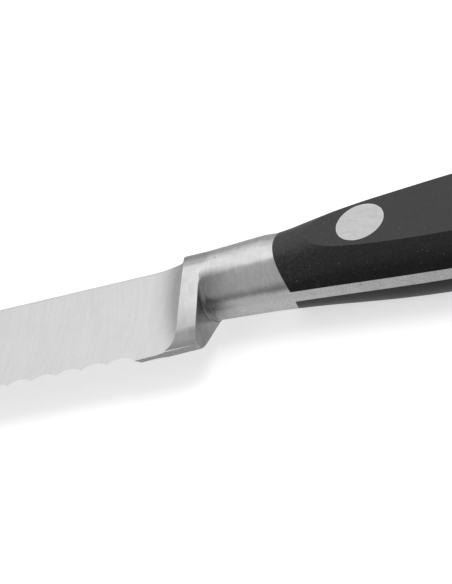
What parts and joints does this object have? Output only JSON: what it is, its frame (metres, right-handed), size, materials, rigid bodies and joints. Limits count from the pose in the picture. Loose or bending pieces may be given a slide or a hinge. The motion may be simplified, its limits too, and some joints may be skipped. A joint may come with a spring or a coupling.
{
  "type": "tomato knife",
  "caption": "Forged tomato knife with a scalloped edge, full bolster and guard, and riveted black handle scales on a full tang.",
  "frame": {"origin": "on the flat of the right handle scale, midway between the front and middle rivets", "axes": "+X towards the tip, +Y towards the cutting edge, +Z out of the left side"},
  "size_m": [0.2439, 0.0236, 0.0138],
  "materials": {
    "blade_steel": "fine brushed stainless steel, lines running across the blade",
    "handle_black": "smooth black plastic, half matt",
    "rivet_steel": "ground flush with the handle flats"
  },
  "bodies": {
    "root": {"forged_blade": "blade_steel", "left_scale": "handle_black", "right_scale": "handle_black", "front_rivet_post": "rivet_steel", "front_rivet_socket": "rivet_steel", "middle_rivet_post": "rivet_steel", "middle_rivet_socket": "rivet_steel", "rear_rivet_post": "rivet_steel", "rear_rivet_socket": "rivet_steel"}
  },
  "joints": []
}
